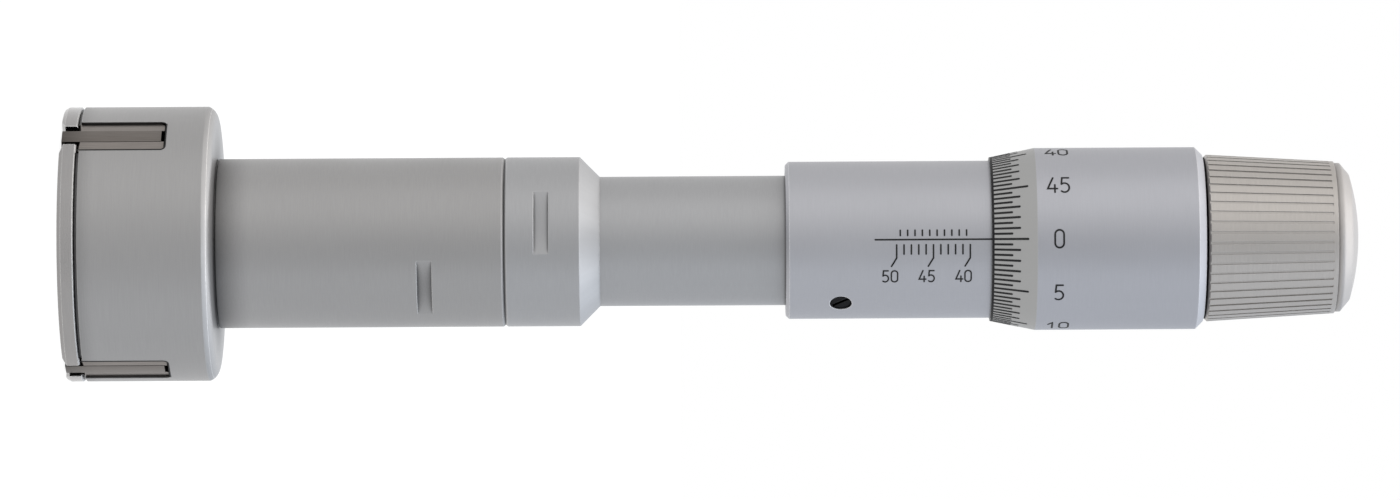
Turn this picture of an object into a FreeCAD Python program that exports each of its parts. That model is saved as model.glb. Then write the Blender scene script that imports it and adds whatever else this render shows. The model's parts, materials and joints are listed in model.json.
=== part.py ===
import FreeCAD, Part
import math
import os
import Sketcher

# Three-point micrometer for bores of 40 to 50 mm, standing on the front face of its head
# The origin is the centre of that face, and +Z runs along the axis to the ratchet knob
# Clock angles are counted about the axis from -Y, the side that carries the index line

SIZES = {
    # outside of the head and its front cover
    "head_radius": "18.8",
    "cover_thick": "2.3",
    "cover_bevel_rise": "0.5",
    "cover_bevel_depth": "0.3",
    "cover_rear_bevel": "0.2",
    "cover_seam_width": "0.4",
    "cover_seam_depth": "0.6",
    "head_length": "18.38",
    "head_corner_rise": "1.2",
    "head_corner_depth": "1.9",
    "head_corner_radius": "1.9",
    "neck_radius": "11.6",
    "neck_length": "39.37",
    "undercut_width": "0.25",
    "undercut_depth": "0.2",
    "seam_rise": "0.3",
    "seam_depth": "0.25",
    "first_jaw_clock": "52.5",
    # inside of the head
    "main_bore": "9.6",
    "slot_width": "6.24",
    "slot_length": "12.0",
    "slot_corner": "0.7",
    "web_thick": "1.0",
    "leg_slot_width": "5.0",
    "ring_groove_wall": "2.4",
    "ring_groove_width": "3.5",
    "cone_relief": "0.4",
    # cover notches and screws
    "notch_width": "4.1",
    "notch_gap": "0.4",
    "notch_bevel_width": "1.4",
    "notch_bevel_depth": "0.5",
    "cover_recess_radius": "1.9",
    "cover_skin": "1.1",
    "cover_screw_circle": "11.0",
    "cover_screw_radius": "1.25",
    "cover_screw_length": "7.5",
    "cover_head_radius": "2.5",
    "cover_head_depth": "1.3",
    "cover_socket_radius": "0.95",
    "cover_socket_depth": "0.9",
    # jaws and their inserts
    "jaw_width": "6.1",
    "insert_stand_out": "0.05",
    "jaw_end_gap": "0.2",
    "jaw_front_gap": "0.15",
    "jaw_front_chamfer": "0.35",
    "jaw_rear_chamfer": "0.5",
    "jaw_inner": "1.25",
    "wedge_gap": "0.17",
    "leg_width": "4.8",
    "leg_reach": "9.05",
    "leg_end_gap": "0.2",
    "insert_width": "2.4",
    "insert_thick": "1.6",
    "insert_sink": "0.3",
    "insert_crown": "15.0",
    "insert_front": "0.2",
    "insert_rear_gap": "0.6",
    # return springs of the jaws
    "return_spring_height": "1.7",
    "return_hole_radius": "1.1",
    "return_hole_depth": "5.0",
    "return_coil_radius": "0.8",
    "return_wire": "0.15",
    "return_turns": "7",
    "spring_end_gap": "0.08",
    # measuring cone, travel and push rod
    "travel": "13.0",
    "cone_slope": "0.5",
    "cone_tip_radius": "1.2",
    "cone_tip_gap": "0.4",
    "cone_gap": "0.03",
    "guide_length": "5.0",
    "socket_depth": "3.0",
    "rod_radius": "3.0",
    "rod_flange_radius": "4.6",
    "rod_flange_thick": "2.0",
    "rod_spring_closed": "13.0",
    "ball_radius": "1.5",
    "ball_stand_out": "0.8",
    "rod_coil_radius": "4.0",
    "rod_wire": "0.3",
    "rod_turns": "6",
    # connecting tube and guide bush
    "spigot_length": "10.0",
    "collar_length": "10.25",
    "cone_length": "2.7",
    "tube_radius": "8.875",
    "tube_shown": "25.4",
    "tube_in_sleeve": "13.6",
    "bush_radius": "7.0",
    "bush_length": "10.0",
    "bush_reach": "5.95",
    "tube_bore": "5.2",
    "spanner_slot_width": "2.0",
    "spanner_slot_depth": "0.87",
    "neck_slot_setback": "10.85",
    "neck_slot_clock": "-35.0",
    "collar_slot_reach": "5.05",
    "collar_slot_clock": "14.0",
    # nut body, adjusting nut and scale sleeve
    "nut_spigot_radius": "6.5",
    "nut_spigot_length": "8.8",
    "nut_rear_gap": "0.5",
    "nut_split_length": "13.5",
    "nut_split_width": "0.8",
    "adjust_thread_wall": "1.875",
    "adjust_thread_length": "8.5",
    "adjust_nut_length": "5.0",
    "adjust_nut_slot": "1.6",
    "adjust_nut_slot_depth": "1.2",
    "sleeve_shown": "28.0",
    "sleeve_wall": "1.9",
    "sleeve_chamfer": "0.45",
    "set_screw_reach": "7.45",
    "set_screw_clock": "-53.5",
    "set_screw_radius": "1.45",
    "set_screw_length": "3.1",
    "set_screw_sink": "0.25",
    "set_screw_slot": "0.45",
    "set_screw_slot_depth": "0.8",
    "set_screw_slot_turn": "35.0",
    # spindle and thimble
    "thread_radius": "3.25",
    "spindle_nose_radius": "2.9",
    "spindle_nose_length": "6.0",
    "taper_front": "3.9",
    "taper_rear": "3.3",
    "stub_radius": "2.0",
    "stub_length": "6.5",
    "thimble_length": "29.1",
    "thimble_edge_wall": "0.425",
    "thimble_taper_rise": "1.275",
    "thimble_cone_length": "6.1",
    "thimble_web": "4.5",
    "thimble_chamfer": "1.0",
    # ratchet
    "arbor_flange_radius": "6.0",
    "arbor_flange_thick": "1.5",
    "arbor_radius": "3.5",
    "arbor_flat": "3.0",
    "arbor_length": "12.5",
    "clutch_radius": "8.0",
    "ratchet_spring_room": "5.0",
    "clutch_thick": "2.9",
    "ratchet_teeth": "24",
    "tooth_width": "1.2",
    "tooth_depth": "0.5",
    "tooth_inner": "5.4",
    "face_gap": "0.1",
    "ratchet_coil_radius": "5.0",
    "ratchet_wire": "0.4",
    "ratchet_turns": "2",
    "retainer_radius": "5.0",
    "retainer_thick": "1.6",
    "retainer_shank_radius": "1.25",
    "retainer_shank_length": "4.4",
    "retainer_slot": "1.0",
    # knob and its end cap
    "knob_gap": "0.3",
    "knob_front_radius": "11.45",
    "knob_rear_radius": "10.425",
    "knob_length": "17.7",
    "knob_front_chamfer": "0.35",
    "knob_bore": "8.5",
    "knob_lip_radius": "7.4",
    "knob_lip_thick": "2.2",
    "cap_bore": "8.8",
    "flute_count": "50",
    "flute_width": "0.38",
    "flute_depth": "0.12",
    "flute_runout": "0.6",
    "cap_radius": "10.2",
    "cap_rim_length": "0.85",
    "cap_bevel_length": "1.25",
    "cap_face_radius": "8.7",
    "cap_dome_radius": "29.8",
    "cap_wall": "1.3",
    # fits
    "run_fit": "0.05",
    "seat_fit": "0.02",
}

UP = FreeCAD.Vector(0, 0, 1)
ACROSS = FreeCAD.Vector(0, 1, 0)
FULL_TURN = 360
JAWS = 3
NUT_SPLITS = 3
KEY_SLOTS = 4
ARBOR_FLATS = 2
CLOSED_TURNS = 1
COIL_STEPS = 14
WIRE_SIDES = 6


class Size:
    """A length or an angle: its number, and the formula that gives it in the sheet."""

    def __init__(self, number, formula):
        self.number = number
        self.formula = formula

    def joined(self, sign, other, number):
        return Size(number, f"({self.formula} {sign} {as_size(other).formula})")

    def __add__(self, other):
        return self.joined("+", other, self.number + as_size(other).number)

    def __sub__(self, other):
        return self.joined("-", other, self.number - as_size(other).number)

    def __mul__(self, other):
        return self.joined("*", other, self.number * as_size(other).number)

    def __truediv__(self, other):
        return self.joined("/", other, self.number / as_size(other).number)

    def __neg__(self):
        return Size(-self.number, f"(-1 * {self.formula})")


class Arc:
    """Marks an outline's next side as an arc, counterclockwise where the radius is above 0."""

    def __init__(self, radius):
        self.radius = as_size(radius)


class Sheet:
    """The driving sizes by name, each tied to its cell."""


def as_size(value):
    if isinstance(value, Size):
        return value
    return Size(float(value), f"({float(value)})")


def sine(angle):
    return Size(math.sin(math.radians(angle.number)), f"sin({angle.formula})")


def cosine(angle):
    return Size(math.cos(math.radians(angle.number)), f"cos({angle.formula})")


def root(size):
    return Size(math.sqrt(size.number), f"sqrt({size.formula})")


document = FreeCAD.newDocument("three_point_micrometer")
cells = document.addObject("Spreadsheet::Sheet", "Sizes")
size = Sheet()
for row, (name, text) in enumerate(SIZES.items(), start=1):
    cells.set(f"A{row}", name)
    cells.set(f"B{row}", text)
    cells.setAlias(f"B{row}", name)
    setattr(size, name, Size(float(text), f"Sizes.{name}"))
document.recompute()

sub_parts = []
cuts = []

ZERO = as_size(0)

# Places along the axis
head_front = size.cover_thick
head_rear = head_front + size.head_length
neck_end = head_rear + size.neck_length
slot_end = head_front + size.slot_length
web_rear = slot_end + size.web_thick
ring_groove_rear = web_rear + size.ring_groove_width
jaw_front = head_front + size.jaw_front_gap
jaw_rear = slot_end - size.jaw_end_gap
leg_rear = ring_groove_rear - size.leg_end_gap
insert_rear = slot_end - size.insert_rear_gap
cone_tip = size.cover_skin + size.cone_tip_gap + size.travel
cone_base_radius = size.main_bore - size.run_fit
cone_base = cone_tip + (cone_base_radius - size.cone_tip_radius) / size.cone_slope
guide_rear = cone_base + size.guide_length
rod_front = guide_rear - size.socket_depth + size.seat_fit
spigot_front = neck_end - size.spigot_length
collar_end = neck_end + size.collar_length
tube_start = collar_end + size.cone_length
bush_seat = neck_end + size.bush_reach
bush_front = bush_seat - size.bush_length
rod_flange_front = bush_seat + size.rod_spring_closed + size.travel
sleeve_start = tube_start + size.tube_shown
tube_end = sleeve_start + size.tube_in_sleeve
thimble_start = sleeve_start + size.sleeve_shown
thimble_end = thimble_start + size.thimble_length
web_front = thimble_end - size.thimble_web
nut_body_end = web_front - size.travel - size.nut_rear_gap
spindle_front = tube_end + size.seat_fit
ball_centre = spindle_front - size.seat_fit - size.ball_radius
rod_rear = ball_centre + size.ball_radius - size.ball_stand_out
nut_front = tube_end - size.nut_spigot_length
adjust_thread_start = nut_body_end - size.adjust_thread_length
adjust_nut_start = adjust_thread_start + (size.adjust_thread_length - size.adjust_nut_length) / 2
arbor_end = thimble_end + size.arbor_length
arbor_flange_rear = thimble_end + size.arbor_flange_thick
clutch_front = arbor_flange_rear + size.ratchet_spring_room
clutch_rear = clutch_front + size.clutch_thick
ring_front = clutch_rear + size.face_gap
ring_rear = arbor_end - size.run_fit
knob_front = thimble_end + size.knob_gap
knob_end = knob_front + size.knob_length
lip_rear = ring_rear + size.knob_lip_thick
neck_slot_centre = neck_end - size.neck_slot_setback
collar_slot_centre = neck_end + size.collar_slot_reach
set_screw_centre = sleeve_start + size.set_screw_reach

# Reaches from the axis
insert_tip = size.head_radius - size.insert_sink
insert_foot = insert_tip - size.insert_thick
jaw_face = insert_tip - size.insert_stand_out
notch_floor = insert_foot - size.notch_gap
ring_groove_radius = size.head_radius - size.ring_groove_wall
adjust_thread_radius = size.tube_radius - size.adjust_thread_wall
sleeve_radius = size.tube_radius + size.sleeve_wall
thimble_edge_radius = sleeve_radius + size.thimble_edge_wall
thimble_radius = thimble_edge_radius + size.thimble_taper_rise


def origin_feature(body, role):
    return next(feature for feature in body.Origin.OriginFeatures if feature.Role == role)


def bind(target, path, value):
    """Tie a property to the sheet."""
    target.setExpression(path, as_size(value).formula)


def new_body(label):
    body = document.addObject("PartDesign::Body", label)
    body.Label = label
    sub_parts.append(body)
    return body


def new_sketch(body, name, role, lift, turn):
    """Start a sketch on one of the body's origin planes, lifted and turned about its normal."""
    sketch = body.newObject("Sketcher::SketchObject", name)
    sketch.AttachmentSupport = [(origin_feature(body, role), "")]
    sketch.MapMode = "FlatFace"
    lift = as_size(lift)
    turn = as_size(turn)
    place = FreeCAD.Vector(0, 0, lift.number)
    sketch.AttachmentOffset = FreeCAD.Placement(place, FreeCAD.Rotation(UP, turn.number))
    bind(sketch, "AttachmentOffset.Base.z", lift)
    if turn.number:
        bind(sketch, "AttachmentOffset.Rotation.Angle", turn)
    return sketch


def arc_between(start, end, radius):
    """Give the arc from start to end, and which of its ends is its first."""
    chord = end - start
    middle = (start + end) * 0.5
    left = FreeCAD.Vector(-chord.y, chord.x, 0).normalize()
    height = math.sqrt(max(radius * radius - chord.Length ** 2 / 4, 0))
    centre = middle + left * math.copysign(height, radius)
    from_angle = math.atan2(start.y - centre.y, start.x - centre.x)
    to_angle = math.atan2(end.y - centre.y, end.x - centre.x)
    circle = Part.Circle(centre, UP, abs(radius))
    if radius > 0:
        return Part.ArcOfCircle(circle, from_angle, to_angle), 1, 2
    return Part.ArcOfCircle(circle, to_angle, from_angle), 2, 1


def draw(body, name, role, corners, lift=0, turn=0):
    """Draw a closed outline whose corners and arcs are all tied to the sheet."""
    sketch = new_sketch(body, name, role, lift, turn)
    points = []
    bends = {}
    for corner in corners:
        if isinstance(corner, Arc):
            bends[len(points) - 1] = corner.radius
        else:
            points.append((as_size(corner[0]), as_size(corner[1])))
    spots = [FreeCAD.Vector(x.number, y.number, 0) for x, y in points]
    sides = []
    for index, spot in enumerate(spots):
        following = spots[(index + 1) % len(spots)]
        if index in bends:
            side, first, last = arc_between(spot, following, bends[index].number)
        else:
            side, first, last = Part.LineSegment(spot, following), 1, 2
        sides.append((sketch.addGeometry(side, False), first, last))
    constraints = []
    formulas = []
    for index, (side, first, last) in enumerate(sides):
        after, after_first, _ = sides[(index + 1) % len(sides)]
        constraints.append(Sketcher.Constraint("Coincident", side, last, after, after_first))
        formulas.append(None)
    for (side, first, _), (x, y) in zip(sides, points):
        constraints.append(Sketcher.Constraint("DistanceX", -1, 1, side, first, x.number))
        formulas.append(x.formula)
        constraints.append(Sketcher.Constraint("DistanceY", -1, 1, side, first, y.number))
        formulas.append(y.formula)
    for index, radius in bends.items():
        constraints.append(Sketcher.Constraint("Radius", sides[index][0], abs(radius.number)))
        formulas.append(f"abs({radius.formula})")
    first_constraint = sketch.ConstraintCount
    sketch.addConstraint(constraints)
    for offset, formula in enumerate(formulas):
        if formula and "Sizes." in formula:
            sketch.setExpression(f"Constraints[{first_constraint + offset}]", formula)
    return sketch


def draw_circle(body, name, role, x, y, radius, lift=0):
    """Draw a circle whose centre and radius are tied to the sheet."""
    sketch = new_sketch(body, name, role, lift, 0)
    x = as_size(x)
    y = as_size(y)
    radius = as_size(radius)
    centre = FreeCAD.Vector(x.number, y.number, 0)
    circle = sketch.addGeometry(Part.Circle(centre, UP, radius.number), False)
    held = (("DistanceX", x), ("DistanceY", y))
    for kind, value in held:
        index = sketch.addConstraint(Sketcher.Constraint(kind, -1, 1, circle, 3, value.number))
        if "Sizes." in value.formula:
            sketch.setExpression(f"Constraints[{index}]", value.formula)
    index = sketch.addConstraint(Sketcher.Constraint("Radius", circle, radius.number))
    sketch.setExpression(f"Constraints[{index}]", radius.formula)
    return sketch


def revolve(body, name, corners):
    """Turn a half section, given as radius and height, about the body's axis."""
    feature = body.newObject("PartDesign::Revolution", name)
    feature.Profile = draw(body, f"{name}_section", "XZ_Plane", corners)
    feature.ReferenceAxis = (feature.Profile[0], ["V_Axis"])
    feature.Angle = FULL_TURN
    return feature


def pad(body, name, sketch, length):
    feature = body.newObject("PartDesign::Pad", name)
    feature.Profile = sketch
    bind(feature, "Length", length)
    return feature


def pocket(body, name, sketch, length, backwards=True, both_ways=False):
    """Cut a sketch into the body along its normal, or evenly to both sides of it."""
    feature = body.newObject("PartDesign::Pocket", name)
    feature.Profile = sketch
    feature.Reversed = backwards
    feature.Midplane = both_ways
    bind(feature, "Length", length)
    cuts.append(feature)
    return feature


def repeat(body, name, features, count):
    """Repeat features evenly about the body's axis."""
    pattern = body.newObject("PartDesign::PolarPattern", name)
    pattern.Originals = features
    pattern.Axis = (origin_feature(body, "Z_Axis"), [""])
    pattern.Angle = FULL_TURN
    bind(pattern, "Occurrences", count)
    body.Tip = pattern
    return pattern


def clock(body, angle):
    """Turn a body about the axis so that its own +X points at a clock angle."""
    turn = -(angle + 90)
    body.Placement = FreeCAD.Placement(FreeCAD.Vector(), FreeCAD.Rotation(UP, turn.number))
    bind(body, "Placement.Rotation.Angle", turn)


def set_radially(body, angle, reach, height):
    """Lay a body's own +Z along a clock angle, its origin at a reach and a height."""
    turn = -(angle + 90)
    outward = FreeCAD.Rotation(UP, turn.number) * FreeCAD.Rotation(ACROSS, 90)
    body.Placement = FreeCAD.Placement(FreeCAD.Vector(), outward)
    bind(body, "Placement.Base.x", reach * cosine(turn))
    bind(body, "Placement.Base.y", reach * sine(turn))
    bind(body, "Placement.Base.z", height)


def coil(label, coil_radius, wire, turns, length):
    """A closed-end spring of six-sided wire, wound in straight runs so that it has few faces."""
    feature = document.addObject("Part::Feature", label)
    feature.Label = label
    radius = coil_radius.number
    half_wire = wire.number
    free_turns = turns.number
    closed_rise = 2 * half_wire
    all_turns = free_turns + 2 * CLOSED_TURNS
    all_rise = length.number - closed_rise
    slope = (all_rise - 2 * closed_rise) / free_turns
    points = []
    for step in range(round(all_turns * COIL_STEPS) + 1):
        turn = min(step / COIL_STEPS, all_turns)
        to_end = all_turns - turn
        if turn < CLOSED_TURNS:
            rise = closed_rise * turn
        elif to_end < CLOSED_TURNS:
            rise = all_rise - closed_rise * to_end
        else:
            rise = closed_rise + slope * (turn - CLOSED_TURNS)
        angle = 2 * math.pi * turn
        spot = (radius * math.cos(angle), radius * math.sin(angle), half_wire + rise)
        points.append(FreeCAD.Vector(*spot))
    along = (points[1] - points[0]).normalize()
    outward = FreeCAD.Vector(1, 0, 0)
    upward = along.cross(outward)
    corners = []
    for side in range(WIRE_SIDES + 1):
        angle = 2 * math.pi * (side + 0.5) / WIRE_SIDES
        aside = outward * math.cos(angle) + upward * math.sin(angle)
        corners.append(points[0] + aside * half_wire)
    section = Part.makePolygon(corners)
    feature.Shape = Part.makePolygon(points).makePipeShell([section], True, False, 1)
    sub_parts.append(feature)
    return feature


def make_head_body():
    body = new_body("head_body")
    relief = size.cone_tip_radius + size.cone_relief
    cone_at_front = relief + (head_front - cone_tip + size.travel) * size.cone_slope
    cone_at_slot_end = relief + (slot_end - cone_tip + size.travel) * size.cone_slope
    revolve(body, "head_turned", [
        (cone_at_front, head_front),
        (size.head_radius - size.cover_seam_depth, head_front),
        (size.head_radius - size.cover_seam_depth, head_front + size.cover_seam_width),
        (size.head_radius, head_front + size.cover_seam_width),
        (size.head_radius, head_rear - size.head_corner_rise),
        Arc(size.head_corner_radius),
        (size.head_radius - size.head_corner_depth, head_rear),
        (size.neck_radius - size.undercut_depth, head_rear),
        (size.neck_radius - size.undercut_depth, head_rear + size.undercut_width),
        (size.neck_radius, head_rear + size.undercut_width),
        (size.neck_radius, neck_end - size.seam_rise),
        (size.neck_radius - size.seam_depth, neck_end),
        (size.main_bore, neck_end),
        (size.main_bore, ring_groove_rear),
        (ring_groove_radius, ring_groove_rear),
        (ring_groove_radius, web_rear),
        (size.main_bore, web_rear),
        (size.main_bore, slot_end),
        (cone_at_slot_end, slot_end),
    ])
    half_slot = size.slot_width / 2
    slot_sketch = draw(body, "jaw_slot_section", "YZ_Plane", [
        (-half_slot, ZERO),
        (half_slot, ZERO),
        (half_slot, slot_end - size.slot_corner),
        Arc(size.slot_corner),
        (half_slot - size.slot_corner, slot_end),
        (size.slot_corner - half_slot, slot_end),
        Arc(size.slot_corner),
        (-half_slot, slot_end - size.slot_corner),
    ])
    slot = pocket(body, "jaw_slot", slot_sketch, size.head_radius * 2)
    half_leg_slot = size.leg_slot_width / 2
    leg_slot_reach = ring_groove_radius
    leg_sketch = draw(body, "leg_slot_section", "XY_Plane", [
        (ZERO, -half_leg_slot),
        (leg_slot_reach, -half_leg_slot),
        (leg_slot_reach, half_leg_slot),
        (ZERO, half_leg_slot),
    ], lift=slot_end - size.web_thick)
    leg_slot = pocket(body, "leg_slot", leg_sketch, size.web_thick * 2 + size.run_fit)
    screw_sketch = draw_circle(
        body, "screw_hole_section", "XY_Plane", -size.cover_screw_circle, ZERO,
        size.cover_screw_radius + size.seat_fit, lift=head_front)
    screw_depth = size.cover_screw_length - size.cover_thick + size.cover_screw_radius
    screw_hole = pocket(body, "screw_hole", screw_sketch, screw_depth)
    repeat(body, "jaw_slots", [slot, leg_slot, screw_hole], JAWS)
    flat = size.neck_radius - size.spanner_slot_depth
    reach = size.neck_radius * 2
    spanner_sketch = draw(body, "spanner_slot_section", "XY_Plane", [
        (flat, -reach),
        (reach, -reach),
        (reach, reach),
        (flat, reach),
    ], lift=neck_slot_centre - size.spanner_slot_width / 2,
        turn=size.first_jaw_clock - size.neck_slot_clock)
    pocket(body, "spanner_slot", spanner_sketch, size.spanner_slot_width)
    clock(body, size.first_jaw_clock)


def make_front_cover():
    body = new_body("front_cover")
    revolve(body, "cover_turned", [
        (ZERO, ZERO),
        (size.head_radius - size.cover_bevel_depth, ZERO),
        (size.head_radius, size.cover_bevel_rise),
        (size.head_radius, head_front - size.cover_rear_bevel),
        (size.head_radius - size.cover_rear_bevel, head_front),
        (size.cover_recess_radius, head_front),
        (size.cover_recess_radius, size.cover_skin),
        (ZERO, size.cover_skin),
    ])
    half_notch = size.notch_width / 2
    notch_sketch = draw(body, "notch_section", "XY_Plane", [
        (notch_floor, -half_notch),
        (size.head_radius * 2, -half_notch),
        (size.head_radius * 2, half_notch),
        (notch_floor, half_notch),
    ])
    notch = pocket(body, "notch", notch_sketch, size.cover_thick)
    bevel_sketch = draw(body, "notch_bevel_section", "YZ_Plane", [
        (-(half_notch + size.notch_bevel_width), ZERO),
        (half_notch + size.notch_bevel_width, ZERO),
        (half_notch, size.notch_bevel_depth),
        (-half_notch, size.notch_bevel_depth),
    ], lift=notch_floor)
    bevel = pocket(body, "notch_bevel", bevel_sketch, size.head_radius)
    hole_sketch = draw_circle(
        body, "cover_hole_section", "XY_Plane", -size.cover_screw_circle, ZERO,
        size.cover_screw_radius + size.run_fit)
    hole = pocket(body, "cover_hole", hole_sketch, size.cover_thick)
    sink = body.newObject("PartDesign::SubtractiveCone", "countersink")
    bind(sink, "Radius1", size.cover_head_radius + size.seat_fit)
    bind(sink, "Radius2", size.cover_screw_radius + size.seat_fit)
    bind(sink, "Height", size.cover_head_depth)
    bind(sink, "AttachmentOffset.Base.x", -size.cover_screw_circle)
    sink.AttachmentSupport = [(origin_feature(body, "XY_Plane"), "")]
    sink.MapMode = "FlatFace"
    cuts.append(sink)
    repeat(body, "cover_cuts", [notch, bevel, hole, sink], JAWS)
    clock(body, size.first_jaw_clock)


def make_cover_screws():
    """Three countersunk socket screws in one group, each revolved about its own centre line."""
    body = new_body("cover_screws")
    head = body.newObject("PartDesign::AdditiveCone", "screw_head")
    bind(head, "Radius1", size.cover_head_radius)
    bind(head, "Radius2", size.cover_screw_radius)
    bind(head, "Height", size.cover_head_depth)
    shank = body.newObject("PartDesign::AdditiveCylinder", "screw_shank")
    bind(shank, "Radius", size.cover_screw_radius)
    bind(shank, "Height", size.cover_screw_length)
    for piece in (head, shank):
        bind(piece, "AttachmentOffset.Base.x", -size.cover_screw_circle)
        piece.AttachmentSupport = [(origin_feature(body, "XY_Plane"), "")]
        piece.MapMode = "FlatFace"
    socket = body.newObject("PartDesign::SubtractivePrism", "screw_socket")
    socket.Polygon = 6
    bind(socket, "Circumradius", size.cover_socket_radius)
    bind(socket, "Height", size.cover_socket_depth)
    bind(socket, "AttachmentOffset.Base.x", -size.cover_screw_circle)
    socket.AttachmentSupport = [(origin_feature(body, "XY_Plane"), "")]
    socket.MapMode = "FlatFace"
    cuts.append(socket)
    repeat(body, "screws", [head, shank, socket], JAWS)
    clock(body, size.first_jaw_clock)


def wedge_half_width(reach):
    """Half the width of the share of the circle that a jaw may fill at a reach."""
    return (reach - size.wedge_gap) * math.tan(math.pi / JAWS)


def wedge_reach(half_width):
    return half_width / math.tan(math.pi / JAWS) + size.wedge_gap


def make_jaw(number, angle):
    """A jaw with its leg, whose sloped inner face rides on the measuring cone."""
    body = new_body(f"jaw_{number}")
    half = size.jaw_width / 2
    half_leg = size.leg_width / 2
    inner_half = wedge_half_width(size.jaw_inner)
    corner = root(jaw_face * jaw_face - half * half)
    block_sketch = draw(body, "block_section", "XY_Plane", [
        (size.jaw_inner, -inner_half),
        (wedge_reach(half), -half),
        (corner, -half),
        Arc(jaw_face),
        (corner, half),
        (wedge_reach(half), half),
        (size.jaw_inner, inner_half),
    ], lift=jaw_front)
    pad(body, "block", block_sketch, jaw_rear - jaw_front)
    leg_sketch = draw(body, "leg_section", "XY_Plane", [
        (size.jaw_inner, -inner_half),
        (wedge_reach(half_leg), -half_leg),
        (size.leg_reach, -half_leg),
        (size.leg_reach, half_leg),
        (wedge_reach(half_leg), half_leg),
        (size.jaw_inner, inner_half),
    ], lift=jaw_rear)
    pad(body, "leg", leg_sketch, leg_rear - jaw_rear)
    face_start = size.cone_tip_radius + size.cone_gap
    face_rise = (leg_rear + size.leg_end_gap - cone_tip) * size.cone_slope
    slope_sketch = draw(body, "slope_section", "XZ_Plane", [
        (ZERO, cone_tip),
        (face_start, cone_tip),
        (face_start + face_rise, leg_rear + size.leg_end_gap),
        (ZERO, leg_rear + size.leg_end_gap),
    ])
    pocket(body, "slope", slope_sketch, size.jaw_width * 2, both_ways=True)
    chamfer_sketch = draw(body, "front_chamfer_section", "XZ_Plane", [
        (jaw_face - size.jaw_front_chamfer, jaw_front),
        (jaw_face * 2, jaw_front),
        (jaw_face * 2, jaw_front + jaw_face + size.jaw_front_chamfer),
    ])
    pocket(body, "front_chamfer", chamfer_sketch, size.jaw_width * 2, both_ways=True)
    rear_corner = half - size.jaw_rear_chamfer
    for side in (1, -1):
        corner_sketch = draw(body, f"rear_corner_section_{side + 2}", "YZ_Plane", [
            (rear_corner * side, jaw_rear),
            (half * side, jaw_rear - size.jaw_rear_chamfer),
            (half * 2 * side, jaw_rear - size.jaw_rear_chamfer),
            (half * 2 * side, jaw_rear),
        ])
        pocket(body, f"rear_corner_{side + 2}", corner_sketch, size.head_radius)
    half_groove = size.insert_width / 2 + size.seat_fit
    groove_floor = insert_foot - size.seat_fit
    groove_sketch = draw(body, "insert_groove_section", "XY_Plane", [
        (groove_floor, -half_groove),
        (jaw_face * 2, -half_groove),
        (jaw_face * 2, half_groove),
        (groove_floor, half_groove),
    ], lift=jaw_front)
    pocket(body, "insert_groove", groove_sketch, jaw_rear - jaw_front)
    hole_sketch = draw_circle(
        body, "spring_hole_section", "YZ_Plane", ZERO, web_rear + size.return_spring_height,
        size.return_hole_radius, lift=size.leg_reach - size.return_hole_depth)
    pocket(body, "spring_hole", hole_sketch, size.return_hole_depth)
    clock(body, angle)


def make_insert(number, angle):
    """The hard strip that touches the bore, set in the jaw's groove and crowned."""
    body = new_body(f"anvil_insert_{number}")
    half = size.insert_width / 2
    fall = size.insert_crown - root(size.insert_crown * size.insert_crown - half * half)
    edge = insert_tip - fall
    strip_sketch = draw(body, "strip_section", "XY_Plane", [
        (insert_foot, -half),
        (edge, -half),
        Arc(size.insert_crown),
        (edge, half),
        (insert_foot, half),
    ], lift=size.insert_front)
    pad(body, "strip", strip_sketch, insert_rear - size.insert_front)
    clock(body, angle)


def make_return_spring(number, angle):
    hole_floor = size.leg_reach - size.return_hole_depth
    length = ring_groove_radius - hole_floor - size.spring_end_gap * 2
    spring = coil(f"return_spring_{number}", size.return_coil_radius, size.return_wire,
                  size.return_turns, length)
    reach = hole_floor + size.spring_end_gap
    set_radially(spring, angle, reach, web_rear + size.return_spring_height)


def make_measuring_cone():
    body = new_body("measuring_cone")
    socket_radius = size.rod_radius + size.seat_fit
    revolve(body, "cone_turned", [
        (ZERO, cone_tip),
        (size.cone_tip_radius, cone_tip),
        (cone_base_radius, cone_base),
        (cone_base_radius, guide_rear),
        (socket_radius, guide_rear),
        (socket_radius, guide_rear - size.socket_depth),
        (ZERO, guide_rear - size.socket_depth),
    ])


def make_push_rod():
    body = new_body("push_rod")
    flange_rear = rod_flange_front + size.rod_flange_thick
    pit = size.ball_radius + size.seat_fit
    pit_floor = ball_centre - size.ball_radius - size.seat_fit
    revolve(body, "rod_turned", [
        (ZERO, rod_front),
        (size.rod_radius, rod_front),
        (size.rod_radius, rod_flange_front),
        (size.rod_flange_radius, rod_flange_front),
        (size.rod_flange_radius, flange_rear),
        (size.rod_radius, flange_rear),
        (size.rod_radius, rod_rear),
        (pit, rod_rear),
        (pit, pit_floor),
        (ZERO, pit_floor),
    ])


def make_rod_ball():
    body = new_body("rod_ball")
    ball = body.newObject("PartDesign::AdditiveSphere", "ball")
    bind(ball, "Radius", size.ball_radius)
    bind(body, "Placement.Base.z", ball_centre)


def make_rod_spring():
    length = rod_flange_front - bush_seat - size.spring_end_gap * 2
    spring = coil("rod_spring", size.rod_coil_radius, size.rod_wire, size.rod_turns, length)
    bind(spring, "Placement.Base.z", bush_seat + size.spring_end_gap)


def make_guide_bush():
    body = new_body("guide_bush")
    bore = size.rod_radius + size.run_fit
    revolve(body, "bush_turned", [
        (bore, bush_front),
        (size.bush_radius - size.seat_fit, bush_front),
        (size.bush_radius - size.seat_fit, bush_seat - size.seat_fit),
        (bore, bush_seat - size.seat_fit),
    ])


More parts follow.
